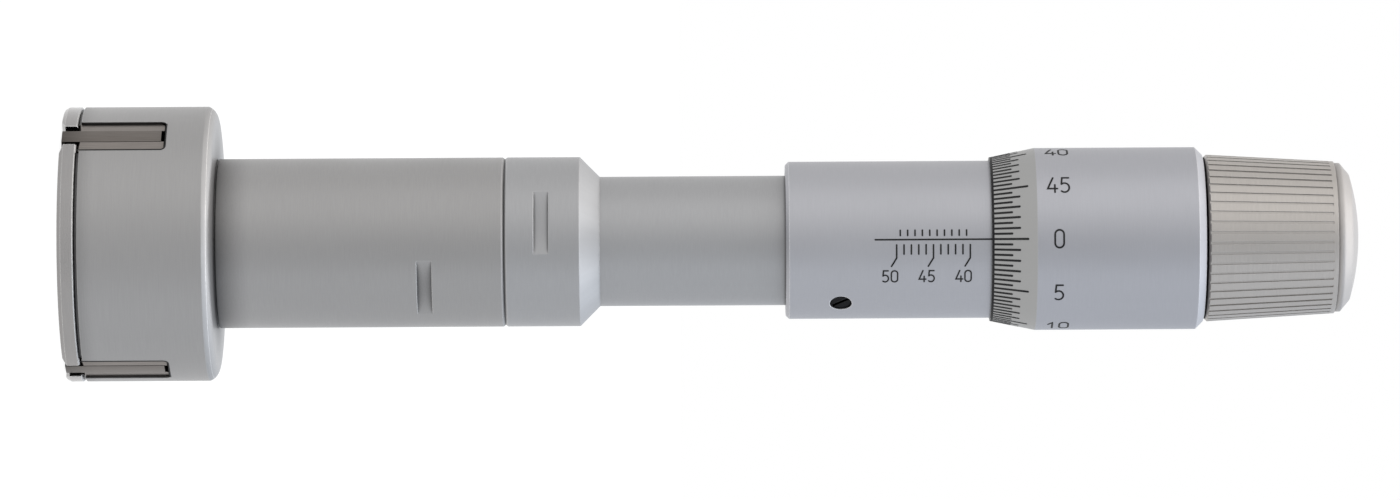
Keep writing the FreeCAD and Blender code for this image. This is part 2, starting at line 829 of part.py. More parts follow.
def make_connecting_tube():
    body = new_body("connecting_tube")
    spigot_radius = size.main_bore - size.run_fit
    nut_bore = size.nut_spigot_radius + size.run_fit
    revolve(body, "tube_turned", [
        (size.bush_radius, spigot_front),
        (spigot_radius, spigot_front),
        (spigot_radius, neck_end),
        (size.neck_radius - size.seam_depth, neck_end),
        (size.neck_radius, neck_end + size.seam_rise),
        (size.neck_radius, collar_end),
        (size.tube_radius, tube_start),
        (size.tube_radius, tube_end),
        (nut_bore, tube_end),
        (nut_bore, nut_front),
        (size.tube_bore, nut_front),
        (size.tube_bore, bush_seat),
        (size.bush_radius, bush_seat),
    ])
    flat = size.neck_radius - size.spanner_slot_depth
    reach = size.neck_radius * 2
    spanner_sketch = draw(body, "spanner_slot_section", "XY_Plane", [
        (flat, -reach),
        (reach, -reach),
        (reach, reach),
        (flat, reach),
    ], lift=collar_slot_centre - size.spanner_slot_width / 2,
        turn=size.set_screw_clock - size.collar_slot_clock)
    pocket(body, "spanner_slot", spanner_sketch, size.spanner_slot_width)
    hole_sketch = draw_circle(
        body, "set_screw_hole_section", "YZ_Plane", ZERO, set_screw_centre,
        size.set_screw_radius + size.run_fit)
    pocket(body, "set_screw_hole", hole_sketch, size.tube_radius * 2)
    clock(body, size.set_screw_clock)


def make_nut_body():
    """The threaded nut, split in three at its rear so that a ring nut can close it."""
    body = new_body("nut_body")
    bore = size.thread_radius + size.run_fit
    shell = size.tube_radius
    spigot_step = tube_end + size.seat_fit
    revolve(body, "nut_turned", [
        (bore, nut_front + size.seat_fit),
        (size.nut_spigot_radius, nut_front + size.seat_fit),
        (size.nut_spigot_radius, spigot_step),
        (shell, spigot_step),
        (shell, adjust_thread_start),
        (adjust_thread_radius, adjust_thread_start),
        (adjust_thread_radius, nut_body_end),
        (bore, nut_body_end),
    ])
    half = size.nut_split_width / 2
    split_start = nut_body_end - size.nut_split_length
    split_sketch = draw(body, "split_section", "XY_Plane", [
        (ZERO, -half),
        (shell * 2, -half),
        (shell * 2, half),
        (ZERO, half),
    ], lift=split_start)
    split = pocket(body, "split", split_sketch, size.nut_split_length)
    repeat(body, "nut_splits", [split], NUT_SPLITS)


def make_adjusting_nut():
    body = new_body("adjusting_nut")
    bore = adjust_thread_radius + size.seat_fit
    outside = size.tube_radius
    nut_end = adjust_nut_start + size.adjust_nut_length
    revolve(body, "ring_turned", [
        (bore, adjust_nut_start),
        (outside, adjust_nut_start),
        (outside, nut_end),
        (bore, nut_end),
    ])
    half = size.adjust_nut_slot / 2
    slot_sketch = draw(body, "key_slot_section", "XY_Plane", [
        (ZERO, -half),
        (outside * 2, -half),
        (outside * 2, half),
        (ZERO, half),
    ], lift=nut_end - size.adjust_nut_slot_depth)
    slot = pocket(body, "key_slot", slot_sketch, size.adjust_nut_slot_depth)
    repeat(body, "key_slots", [slot], KEY_SLOTS)


def make_scale_sleeve():
    body = new_body("scale_sleeve")
    bore = size.tube_radius + size.seat_fit
    revolve(body, "sleeve_turned", [
        (bore, sleeve_start),
        (sleeve_radius - size.sleeve_chamfer, sleeve_start),
        (sleeve_radius, sleeve_start + size.sleeve_chamfer),
        (sleeve_radius, nut_body_end),
        (bore, nut_body_end),
    ])
    hole_sketch = draw_circle(
        body, "set_screw_hole_section", "YZ_Plane", ZERO, set_screw_centre,
        size.set_screw_radius + size.run_fit)
    pocket(body, "set_screw_hole", hole_sketch, sleeve_radius * 2)
    clock(body, size.set_screw_clock)


def make_set_screw():
    body = new_body("sleeve_set_screw")
    grub_sketch = draw_circle(body, "grub_section", "XY_Plane", ZERO, ZERO, size.set_screw_radius)
    pad(body, "grub", grub_sketch, size.set_screw_length)
    half = size.set_screw_slot / 2
    reach = size.set_screw_radius * 2
    slot_sketch = draw(body, "driver_slot_section", "XY_Plane", [
        (-reach, -half),
        (reach, -half),
        (reach, half),
        (-reach, half),
    ], lift=size.set_screw_length - size.set_screw_slot_depth, turn=size.set_screw_slot_turn)
    pocket(body, "driver_slot", slot_sketch, size.set_screw_slot_depth)
    tip_reach = sleeve_radius - size.set_screw_sink - size.set_screw_length
    set_radially(body, size.set_screw_clock, tip_reach, set_screw_centre)


def make_spindle():
    body = new_body("spindle")
    thread_start = spindle_front + size.spindle_nose_length
    revolve(body, "spindle_turned", [
        (ZERO, spindle_front),
        (size.spindle_nose_radius, spindle_front),
        (size.spindle_nose_radius, thread_start),
        (size.thread_radius, thread_start),
        (size.thread_radius, web_front),
        (size.taper_front, web_front),
        (size.taper_rear, thimble_end),
        (size.stub_radius, thimble_end),
        (size.stub_radius, thimble_end + size.stub_length),
        (ZERO, thimble_end + size.stub_length),
    ])


def make_thimble():
    body = new_body("thimble")
    bore = sleeve_radius + size.run_fit
    cone_end = thimble_start + size.thimble_cone_length
    revolve(body, "thimble_turned", [
        (bore, thimble_start),
        (thimble_edge_radius, thimble_start),
        (thimble_radius, cone_end),
        (thimble_radius, thimble_end - size.thimble_chamfer),
        (thimble_radius - size.thimble_chamfer, thimble_end),
        (size.taper_rear + size.seat_fit, thimble_end),
        (size.taper_front + size.seat_fit, web_front),
        (bore, web_front),
    ])


def make_ratchet_arbor():
    """The stepped stub that clamps the thimble, with two flats that key the clutch disc."""
    body = new_body("ratchet_arbor")
    seat = thimble_end + size.seat_fit
    stub_bore = size.stub_radius + size.seat_fit
    stub_floor = thimble_end + size.stub_length + size.seat_fit
    screw_bore = size.retainer_shank_radius + size.seat_fit
    screw_floor = arbor_end - size.retainer_shank_length - size.seat_fit
    revolve(body, "arbor_turned", [
        (stub_bore, seat),
        (size.arbor_flange_radius, seat),
        (size.arbor_flange_radius, arbor_flange_rear),
        (size.arbor_radius, arbor_flange_rear),
        (size.arbor_radius, arbor_end),
        (screw_bore, arbor_end),
        (screw_bore, screw_floor),
        (ZERO, screw_floor),
        (ZERO, stub_floor),
        (stub_bore, stub_floor),
    ])
    flat_sketch = draw(body, "flat_section", "XY_Plane", [
        (size.arbor_flat, -size.arbor_radius),
        (size.arbor_radius * 2, -size.arbor_radius),
        (size.arbor_radius * 2, size.arbor_radius),
        (size.arbor_flat, size.arbor_radius),
    ], lift=arbor_flange_rear)
    flat = pocket(body, "flat", flat_sketch, clutch_rear - arbor_flange_rear)
    repeat(body, "arbor_flats", [flat], ARBOR_FLATS)


def tooth_corners(height, direction, spare):
    """A saw tooth across the radius: a steep side and a long slope, a spare smaller all round."""
    steep = size.tooth_width / 2 - spare
    return [
        (-steep, height),
        (steep, height),
        (-steep, height + (size.tooth_depth - spare) * direction),
    ]


def make_clutch_disc():
    """The keyed disc that the spring presses against the toothed ring."""
    body = new_body("clutch_disc")
    bore = size.arbor_radius + size.run_fit
    revolve(body, "disc_turned", [
        (size.arbor_flat, clutch_front),
        (size.clutch_radius, clutch_front),
        (size.clutch_radius, clutch_rear),
        (size.arbor_flat, clutch_rear),
    ])
    key = size.arbor_flat + size.run_fit
    key_reach = root(bore * bore - key * key)
    key_sketch = draw(body, "key_hole_section", "XY_Plane", [
        (key, -key_reach),
        (key, key_reach),
        Arc(bore),
        (-key, key_reach),
        (-key, -key_reach),
        Arc(bore),
    ], lift=clutch_front)
    pocket(body, "key_hole", key_sketch, size.clutch_thick)
    corners = tooth_corners(clutch_rear, -1, ZERO)
    notch_sketch = draw(body, "tooth_notch_section", "YZ_Plane", corners, lift=size.arbor_radius)
    notch = pocket(body, "tooth_notch", notch_sketch, size.clutch_radius * 2)
    repeat(body, "tooth_notches", [notch], size.ratchet_teeth)


def make_ratchet_ring():
    """The ring pressed in the knob, turning on the arbor, with teeth on its front face."""
    body = new_body("ratchet_ring")
    bore = size.arbor_radius + size.run_fit
    outside = size.knob_bore - size.seat_fit
    revolve(body, "ring_turned", [
        (bore, ring_front),
        (outside, ring_front),
        (outside, ring_rear),
        (bore, ring_rear),
    ])
    spare = size.run_fit
    corners = tooth_corners(ring_front, -1, spare)
    tooth_sketch = draw(body, "tooth_section", "YZ_Plane", corners, lift=size.tooth_inner)
    tooth = pad(body, "tooth", tooth_sketch, size.clutch_radius - size.tooth_inner)
    repeat(body, "teeth", [tooth], size.ratchet_teeth)


def make_ratchet_spring():
    length = clutch_front - arbor_flange_rear - size.spring_end_gap * 2
    spring = coil("ratchet_spring", size.ratchet_coil_radius, size.ratchet_wire,
                  size.ratchet_turns, length)
    bind(spring, "Placement.Base.z", arbor_flange_rear + size.spring_end_gap)


def make_retaining_screw():
    body = new_body("retaining_screw")
    head_front_face = arbor_end + size.seat_fit
    head_rear_face = head_front_face + size.retainer_thick
    revolve(body, "retainer_turned", [
        (ZERO, arbor_end - size.retainer_shank_length),
        (size.retainer_shank_radius, arbor_end - size.retainer_shank_length),
        (size.retainer_shank_radius, head_front_face),
        (size.retainer_radius, head_front_face),
        (size.retainer_radius, head_rear_face),
        (ZERO, head_rear_face),
    ])
    half = size.retainer_slot / 2
    reach = size.retainer_radius * 2
    depth = size.retainer_thick / 2
    slot_sketch = draw(body, "driver_slot_section", "XY_Plane", [
        (-reach, -half),
        (reach, -half),
        (reach, half),
        (-reach, half),
    ], lift=head_rear_face - depth)
    pocket(body, "driver_slot", slot_sketch, depth)


def make_knob():
    """The tapered knob with straight flutes that run out short of its rear end."""
    body = new_body("knob")
    knob_length = knob_end - knob_front
    taper = (size.knob_front_radius - size.knob_rear_radius) / knob_length
    shoulder = knob_front + size.knob_front_chamfer
    revolve(body, "knob_turned", [
        (size.knob_bore, knob_front),
        (size.knob_front_radius - size.knob_front_chamfer, knob_front),
        (size.knob_front_radius - taper * size.knob_front_chamfer, shoulder),
        (size.knob_rear_radius, knob_end),
        (size.cap_bore, knob_end),
        (size.cap_bore, lip_rear),
        (size.knob_lip_radius, lip_rear),
        (size.knob_lip_radius, ring_rear + size.seat_fit),
        (size.knob_bore, ring_rear + size.seat_fit),
    ])
    front_floor = size.knob_front_radius - size.flute_depth
    rear_floor = size.knob_rear_radius - size.flute_depth
    outside = size.knob_front_radius * 2
    flute_end = knob_end - size.flute_runout
    flute_sketch = draw(body, "flute_section", "XZ_Plane", [
        (front_floor, knob_front),
        (outside, knob_front),
        (outside, flute_end),
        (rear_floor + size.flute_depth, flute_end),
        (rear_floor + taper * size.flute_runout, flute_end - size.flute_depth),
    ])
    flute = pocket(body, "flute", flute_sketch, size.flute_width, both_ways=True)
    repeat(body, "flutes", [flute], size.flute_count)


def make_knob_cap():
    body = new_body("knob_cap")
    rim_end = knob_end + size.cap_rim_length
    face_edge = rim_end + size.cap_bevel_length
    dome = size.cap_dome_radius
    face = size.cap_face_radius
    top = face_edge + dome - root(dome * dome - face * face)
    boss = size.cap_bore - size.seat_fit
    boss_front = lip_rear + size.seat_fit
    seat = knob_end + size.seat_fit
    revolve(body, "cap_turned", [
        (boss - size.cap_wall, boss_front),
        (boss, boss_front),
        (boss, seat),
        (size.cap_radius, seat),
        (size.cap_radius, rim_end),
        (face, face_edge),
        Arc(dome),
        (ZERO, top),
        (ZERO, seat),
        (boss - size.cap_wall, seat),
    ])


make_head_body()
make_front_cover()
make_cover_screws()
for jaw_number in range(1, JAWS + 1):
    jaw_clock = size.first_jaw_clock - FULL_TURN / JAWS * (jaw_number - 1)
    make_jaw(jaw_number, jaw_clock)
    make_insert(jaw_number, jaw_clock)
    make_return_spring(jaw_number, jaw_clock)
make_measuring_cone()
make_push_rod()
make_rod_ball()
make_rod_spring()
make_guide_bush()
make_connecting_tube()
make_nut_body()
make_adjusting_nut()
make_scale_sleeve()
make_set_screw()
make_spindle()
make_thimble()
make_ratchet_arbor()
make_clutch_disc()
make_ratchet_spring()
make_ratchet_ring()
make_retaining_screw()
make_knob()
make_knob_cap()
document.recompute()

for item in document.Objects:
    if "Invalid" in item.State or "Error" in item.State:
        raise RuntimeError(f"{item.Name} failed: {item.State}")
for cut in cuts:
    if cut.Shape.Volume >= cut.BaseFeature.Shape.Volume:
        raise RuntimeError(f"{cut.Name} cuts nothing")
os.makedirs("parts", exist_ok=True)
for item in sub_parts:
    if item.Shape.isNull() or not item.Shape.isValid():
        raise RuntimeError(f"{item.Label} has no valid shape")
    item.Shape.exportStep(f"parts/{item.Label}.step")
    print(item.Label, len(item.Shape.Solids), round(item.Shape.Volume, 2))
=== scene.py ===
# %% [markdown]
# # A three-point micrometer, dressed for the camera
# The solids of this instrument come packed from CAD, at their real size and place.
# Blender's share is what a ruler can't hold: the satin of the plated steel, the inked
# scales, the light and the view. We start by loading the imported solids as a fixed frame.

# %% Load the frame
import json
import math

import bmesh
import bpy
from mathutils import Matrix, Vector


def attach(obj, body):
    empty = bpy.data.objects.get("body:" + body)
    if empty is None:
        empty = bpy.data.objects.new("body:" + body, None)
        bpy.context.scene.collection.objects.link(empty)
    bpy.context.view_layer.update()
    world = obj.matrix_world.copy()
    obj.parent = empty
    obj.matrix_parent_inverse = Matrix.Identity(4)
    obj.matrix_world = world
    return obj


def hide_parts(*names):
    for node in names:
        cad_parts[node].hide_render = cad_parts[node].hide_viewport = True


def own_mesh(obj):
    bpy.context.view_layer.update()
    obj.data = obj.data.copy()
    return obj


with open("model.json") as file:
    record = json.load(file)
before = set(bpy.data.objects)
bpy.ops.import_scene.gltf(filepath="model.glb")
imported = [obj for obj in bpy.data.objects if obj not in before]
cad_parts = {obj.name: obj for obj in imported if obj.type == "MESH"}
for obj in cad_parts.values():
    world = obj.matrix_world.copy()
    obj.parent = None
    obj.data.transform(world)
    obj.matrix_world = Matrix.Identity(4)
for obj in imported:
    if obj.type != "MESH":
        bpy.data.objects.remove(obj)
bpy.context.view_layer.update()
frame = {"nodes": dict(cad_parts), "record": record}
MM = 0.001

# %% [markdown]
# ## The camera
# The photograph shows the instrument lying along the picture, while the part stands on
# its head. So the camera rolls instead: its right is the part's +Z and its up is -X.
# The lens is long, because the photograph shows hardly any perspective. We build the
# camera's axes by hand, which is clearer than stacking Euler angles. The instrument's
# axis climbs a third of a degree to the right, and one small roll takes that in.

# %% Place the camera
PICTURE_WIDTH = 1400
PIXELS_PER_MM = 7.29
CAMERA_DISTANCE = 1.030
CAMERA_HEIGHT = 0.0867
CAMERA_ASIDE = 0.00124
AXIS_CLIMB = math.radians(0.33)
SENSOR = 36

camera_data = bpy.data.cameras.new("camera")
camera_data.sensor_width = SENSOR
camera_data.lens = PIXELS_PER_MM * CAMERA_DISTANCE / MM * SENSOR / PICTURE_WIDTH
camera_data.clip_start = 0.01
camera = bpy.data.objects.new("camera", camera_data)
bpy.context.collection.objects.link(camera)
to_right = Vector((math.sin(AXIS_CLIMB), 0, math.cos(AXIS_CLIMB)))
to_top = Vector((-math.cos(AXIS_CLIMB), 0, math.sin(AXIS_CLIMB)))
axes = Matrix((to_right, to_top, to_right.cross(to_top))).transposed()
place = Matrix.Translation((CAMERA_ASIDE, -CAMERA_DISTANCE, CAMERA_HEIGHT))
camera.matrix_world = place @ axes.to_4x4()
bpy.context.scene.camera = camera
bpy.context.scene.view_settings.view_transform = "Standard"
print("lens:", round(camera_data.lens, 1), "mm")

# %% [markdown]
# ## A few words for node trees
# Every material below is a small graph. Four short helpers keep the graphs readable. One
# adds a node and fills its inputs, where a value is either a plain number or another
# node's output. Two give the result of a sum and of a mix of colours, and one starts a
# shared group with named inputs and outputs.

# %% Node helpers
def add(tree, kind, settings=None, **inputs):
    """Add a node, set its properties, and fill its inputs by name, or by number as n0, n1."""
    node = tree.nodes.new("ShaderNode" + kind)
    for name, value in (settings or {}).items():
        setattr(node, name, value)
    for name, value in inputs.items():
        key = int(name[1:]) if name[1:].isdigit() else name.replace("_", " ")
        socket = node.inputs[key]
        if isinstance(value, bpy.types.NodeSocket):
            tree.links.new(value, socket)
        else:
            socket.default_value = value
    return node


def calculate(tree, operation, *values):
    """Join numbers or outputs with one step of arithmetic, and give the result's output."""
    inputs = {f"n{index}": value for index, value in enumerate(values)}
    return add(tree, "Math", {"operation": operation}, **inputs).outputs[0]


def blend(tree, share, first, second):
    """Mix two colours, with a share of the second one from 0 to 1, and give the output."""
    return add(tree, "Mix", {"data_type": "RGBA"}, n0=share, n6=first, n7=second).outputs[2]


def start_group(name, inputs, outputs):
    """Start a node group whose inputs are (name, type, value) and outputs (name, type)."""
    group = bpy.data.node_groups.new(name, "ShaderNodeTree")
    for label, kind, value in inputs:
        socket = group.interface.new_socket(label, in_out="INPUT", socket_type="NodeSocket" + kind)
        socket.default_value = value
    for label, kind in outputs:
        group.interface.new_socket(label, in_out="OUTPUT", socket_type="NodeSocket" + kind)
    return group, group.nodes.new("NodeGroupInput"), group.nodes.new("NodeGroupOutput")


print("node helpers are ready")

# %% [markdown]
# ## Turned grain
# All but a few pieces came off a lathe, so their finest scratches run around the axis.
# A noise texture read at (x/r, y/r, z) has no seam, and when z counts far more than the
# direction it is drawn out into rings. The group gives a height for a Bump node and a
# mask that shifts colour and roughness a little.

# %% Group: turned grain
def build_turned_grain():
    """Fine rings round the axis, as a height and as a mask."""
    group, given, result = start_group(
        "turned_grain",
        [("Rings", "Float", 9000.0), ("Around", "Float", 5.0)],
        [("Height", "Float"), ("Mask", "Float")])
    here = add(group, "TexCoord").outputs["Object"]
    parts = add(group, "SeparateXYZ", n0=here)
    flat = add(group, "CombineXYZ", X=parts.outputs["X"], Y=parts.outputs["Y"]).outputs[0]
    towards = add(group, "VectorMath", {"operation": "NORMALIZE"}, n0=flat).outputs[0]
    reach = add(group, "VectorMath", {"operation": "LENGTH"}, n0=flat).outputs["Value"]
    around = add(group, "VectorMath", {"operation": "SCALE"}, n0=towards,
                 Scale=given.outputs["Around"]).outputs[0]
    depth = calculate(group, "ADD", parts.outputs["Z"], reach)
    lift = calculate(group, "MULTIPLY", depth, given.outputs["Rings"])
    rise = add(group, "CombineXYZ", Z=lift).outputs[0]
    spot = add(group, "VectorMath", {"operation": "ADD"}, n0=around, n1=rise).outputs[0]
    noise = add(group, "TexNoise", Vector=spot, Scale=1.0, Detail=3.0, Roughness=0.6)
    group.links.new(noise.outputs["Fac"], result.inputs["Height"])
    spread = add(group, "MapRange", Value=noise.outputs["Fac"], From_Min=0.3, From_Max=0.7)
    group.links.new(spread.outputs["Result"], result.inputs["Mask"])
    return group


turned_grain = build_turned_grain()
print("group:", turned_grain.name)

# %% [markdown]
# ## Matt speckle
# Scale faces are plated satin so that they don't glare. Close up they are a field of
# tiny pits, the same in every direction, with broad soft patches where hands have
# polished them. Two noise textures of very different size give both.

# %% Group: matt speckle
def build_matt_speckle():
    """Tiny pits as a height, and broad patches as a mask."""
    group, given, result = start_group(
        "matt_speckle",
        [("Pits", "Float", 6000.0), ("Patches", "Float", 60.0)],
        [("Height", "Float"), ("Patch", "Float")])
    here = add(group, "TexCoord").outputs["Object"]
    pits = add(group, "TexNoise", Vector=here, Scale=given.outputs["Pits"], Detail=2.0)
    group.links.new(pits.outputs["Fac"], result.inputs["Height"])
    patches = add(group, "TexNoise", Vector=here, Scale=given.outputs["Patches"], Detail=4.0)
    spread = add(group, "MapRange", Value=patches.outputs["Fac"], From_Min=0.35, From_Max=0.65)
    group.links.new(spread.outputs["Result"], result.inputs["Patch"])
    return group


matt_speckle = build_matt_speckle()
print("group:", matt_speckle.name)

# %% [markdown]
# ## Bright edges
# Edges are painted brighter: partly the wear of steel that is used and wiped, and partly
# a painted highlight for the glint that fine chamfers catch. The Bevel node gives the
# normal that a rounded edge would have. Where that differs from the true normal, we are
# near an edge, and a little noise breaks the line up as wear does. The rounded normal
# itself is passed on too, because no real edge is perfectly sharp.

# %% Group: bright edges
WEAR_SCALE = 700.0
LEAST_WEAR = 0.4


def build_bright_edges():
    """A broken mask along edges, and the normal that rounds them."""
    group, given, result = start_group(
        "bright_edges", [("Width", "Float", 0.0002), ("Strength", "Float", 6.0)],
        [("Mask", "Float"), ("Normal", "Vector")])
    rounded = add(group, "Bevel", {"samples": 4}, Radius=given.outputs["Width"]).outputs[0]
    true_normal = add(group, "NewGeometry").outputs["Normal"]
    same = add(group, "VectorMath", {"operation": "DOT_PRODUCT"}, n0=rounded,
               n1=true_normal).outputs["Value"]
    change = calculate(group, "SUBTRACT", 1.0, same)
    strong = calculate(group, "MULTIPLY", change, given.outputs["Strength"])
    here = add(group, "TexCoord").outputs["Object"]
    noise = add(group, "TexNoise", Vector=here, Scale=WEAR_SCALE, Detail=2.0).outputs["Fac"]
    broken = calculate(group, "MULTIPLY", strong, calculate(group, "ADD", noise, LEAST_WEAR))
    clean = add(group, "Clamp", Value=broken).outputs[0]
    group.links.new(clean, result.inputs["Mask"])
    group.links.new(rounded, result.inputs["Normal"])
    return group


bright_edges = build_bright_edges()
print("group:", bright_edges.name)

# %% [markdown]
# ## Recess shade
# Seams between pieces, grooves and undercuts are painted darker: this is painted shade,
# where little light gets in. The Ambient Occlusion node measures how much of the sky a
# point sees within a short reach. A power makes that stronger or weaker.

# %% Group: recess shade
def build_recess_shade():
    """How open a point is, from 0 deep in a seam to 1 on a free face."""
    group, given, result = start_group(
        "recess_shade", [("Reach", "Float", 0.0008), ("Power", "Float", 1.5)],
        [("Shade", "Float")])
    seen = add(group, "AmbientOcclusion", {"samples": 8}, Distance=given.outputs["Reach"])
    shade = calculate(group, "POWER", seen.outputs["AO"], given.outputs["Power"])
    group.links.new(shade, result.inputs["Shade"])
    return group


recess_shade = build_recess_shade()
print("group:", recess_shade.name)

# %% [markdown]
# ## The metals
# One recipe serves every steel: the four groups above feed a metallic Principled
# shader. What changes from piece to piece is the tone, the roughness, which way the
# grain runs and how dark the painted shade in the seams goes. The tones are darker than
# steel looks in the hand, because a white studio surrounds the part on all sides and
# lights it fully. A band that is too fine to model as a bevel can lean: its normal tips
# up the axis. A piece can take a second, darker tone below a given height. The painted
# shade is measured twice, within a short reach for seams and a long one for corners.

# %% Recipe: plated or ground steel
TURNED = {"Rings": 9000.0, "Around": 5.0}
GROUND_ALONG = {"Rings": 250.0, "Around": 190.0}
SHALLOW_REACH = 0.4
DEEP_REACH = 5.0
STEP_WIDTH = 0.05
METAL_IOR = 2.5
POLISH_SPREAD = 0.03
GRAIN_STRENGTH = 0.25
GRAIN_DEPTH = 0.02


def lean_up(tree, degrees):
    """A normal that points away from the axis and then tips up it by some degrees."""
    here = add(tree, "TexCoord").outputs["Object"]
    flat = add(tree, "VectorMath", {"operation": "MULTIPLY"}, n0=here, n1=(1, 1, 0)).outputs[0]
    outward = add(tree, "VectorMath", {"operation": "NORMALIZE"}, n0=flat).outputs[0]
    rise = (0, 0, math.tan(math.radians(degrees)))
    tipped = add(tree, "VectorMath", {"operation": "ADD"}, n0=outward, n1=rise).outputs[0]
    return add(tree, "VectorMath", {"operation": "NORMALIZE"}, n0=tipped).outputs[0]


def dull_below(tree, colour, height, tone):
    """Another tone for all that lies below a height in millimetres, in one crisp step."""
    here = add(tree, "TexCoord").outputs["Object"]
    rise = add(tree, "SeparateXYZ", n0=here).outputs["Z"]
    share = add(tree, "MapRange", Value=rise, From_Min=(height - STEP_WIDTH) * MM,
                From_Max=(height + STEP_WIDTH) * MM, To_Min=1.0, To_Max=0.0).outputs["Result"]
    return blend(tree, share, colour, [*tone, 1])


def steel(name, tone, rough, grain, edge_tone, run=TURNED, edge=0.2, seam=1.2, deep=0.9, lean=0,
          lower=None):
    """A metal of one tone, with fine grain, soft patches, edges painted brighter and painted shade
    in seams.
    """
    material = bpy.data.materials.new(name)
    material.use_nodes = True
    tree = material.node_tree
    shader = tree.nodes["Principled BSDF"]
    shader.inputs["Metallic"].default_value = 1.0
    shader.inputs["IOR"].default_value = METAL_IOR
    lines = add(tree, "Group", {"node_tree": turned_grain}, **run)
    speckle = add(tree, "Group", {"node_tree": matt_speckle})
    edges = add(tree, "Group", {"node_tree": bright_edges}, Width=edge * MM)
    darker = [value * (1 - grain) for value in tone] + [1]
    lighter = [value * (1 + grain) for value in tone] + [1]
    grained = blend(tree, lines.outputs["Mask"], darker, lighter)
    # Below the given height the colour takes a second, darker tone.
    if lower:
        grained = dull_below(tree, grained, *lower)
    # Edges take the lighter edge tone: partly wear, partly a painted highlight.
    wear_and_glint = blend(tree, edges.outputs["Mask"], grained, [*edge_tone, 1])
    # Painted shade: the colour goes dark in seams within the short reach, and near the roots of
    # steps within the long one, where it also stands for the dark reflection of the face beside
    # them.
    seams = add(tree, "Group", {"node_tree": recess_shade}, Reach=SHALLOW_REACH * MM, Power=seam)
    roots = add(tree, "Group", {"node_tree": recess_shade}, Reach=DEEP_REACH * MM, Power=deep)
    open_share = calculate(tree, "MULTIPLY", seams.outputs["Shade"], roots.outputs["Shade"])
    shaded = blend(tree, open_share, (0, 0, 0, 1), wear_and_glint)
    tree.links.new(shaded, shader.inputs["Base Color"])
    polish = add(tree, "MapRange", Value=speckle.outputs["Patch"], To_Min=rough - POLISH_SPREAD,
                 To_Max=rough + POLISH_SPREAD).outputs["Result"]
    tree.links.new(polish, shader.inputs["Roughness"])
    both = calculate(tree, "ADD", lines.outputs["Height"], speckle.outputs["Height"])
    facing = lean_up(tree, lean) if lean else edges.outputs["Normal"]
    bump = add(tree, "Bump", Height=both, Strength=GRAIN_STRENGTH, Distance=GRAIN_DEPTH * MM,
               Normal=facing)
    tree.links.new(bump.outputs[0], shader.inputs["Normal"])
    return material


satin_chrome = steel("satin_chrome", (0.333, 0.328, 0.326), rough=0.40, grain=0.03,
                     edge_tone=(0.60, 0.60, 0.60), seam=0.25, deep=1.25)
tube_chrome = steel("tube_chrome", (0.362, 0.362, 0.368), rough=0.40, grain=0.03,
                    edge_tone=(0.60, 0.60, 0.60), deep=0.3)
# The cover's tone is a little darker than the head's, as painted shade for the dark reflection that
# the nearby floor hides, and its lighter edge tone is a painted highlight where its rear chamfer
# glints.
cover_chrome = steel("cover_chrome", (0.315, 0.306, 0.302), rough=0.20, grain=0.04,
                     edge_tone=(0.80, 0.79, 0.78), seam=0, deep=0)
scale_chrome = steel("scale_chrome", (0.407, 0.409, 0.432), rough=0.42, grain=0.02,
                     edge_tone=(0.80, 0.80, 0.81), seam=0.7, deep=0.3)
thimble_chrome = steel("thimble_chrome", (0.407, 0.410, 0.437), rough=0.42, grain=0.02,
                       edge_tone=(0.80, 0.80, 0.81), seam=0.7, deep=0.3,
                       lower=(132.5, (0.352, 0.350, 0.346)))
knob_chrome = steel("knob_chrome", (0.445, 0.420, 0.396), rough=0.40, grain=0.05,
                    edge_tone=(0.70, 0.68, 0.66), edge=0.06, seam=0.25, deep=0.12)
cap_chrome = steel("cap_chrome", (0.375, 0.357, 0.344), rough=0.42, grain=0.02,
                   edge_tone=(0.46, 0.44, 0.43), edge=0.9, seam=0.1, deep=0.2)
print("nodes in satin chrome:", len(satin_chrome.node_tree.nodes))

# %% [markdown]
# The inner pieces and the anvils are bare hard steel. The anvils and their inserts are
# ground lengthwise, so their grain runs along the axis. The screws are blacked.

# %% Bare and blacked metals
jaw_steel = steel("jaw_steel", (0.225, 0.204, 0.189), rough=0.34, grain=0.14,
                  edge_tone=(0.36, 0.34, 0.32), run=GROUND_ALONG, edge=0.05, seam=0.3, deep=0.5)
hard_insert = steel("hard_insert", (0.150, 0.134, 0.122), rough=0.30, grain=0.16,
                    edge_tone=(0.20, 0.19, 0.18), run=GROUND_ALONG, edge=0.05)
plain_steel = steel("plain_steel", (0.450, 0.450, 0.455), rough=0.30, grain=0.05,
                    edge_tone=(0.60, 0.60, 0.60))
spring_steel = steel("spring_steel", (0.330, 0.325, 0.320), rough=0.30, grain=0.03,
                     edge_tone=(0.45, 0.45, 0.45))
black_steel = steel("black_steel", (0.007, 0.007, 0.008), rough=0.34, grain=0.10,
                    edge_tone=(0.03, 0.03, 0.03))
bronze = steel("bronze", (0.560, 0.380, 0.180), rough=0.32, grain=0.06,
               edge_tone=(0.72, 0.55, 0.32))
print("nodes in bronze:", len(bronze.node_tree.nodes))

# %% [markdown]
# ## Which piece has which finish
# The imported record names a finish for every piece. We read it from there, so that the
# CAD model and the picture can't drift apart. Four plated pieces are worked a little
# differently: the cover is ground finer, the tube is paler, the cap is polished and the
# thimble is darker and warmer over its taper.

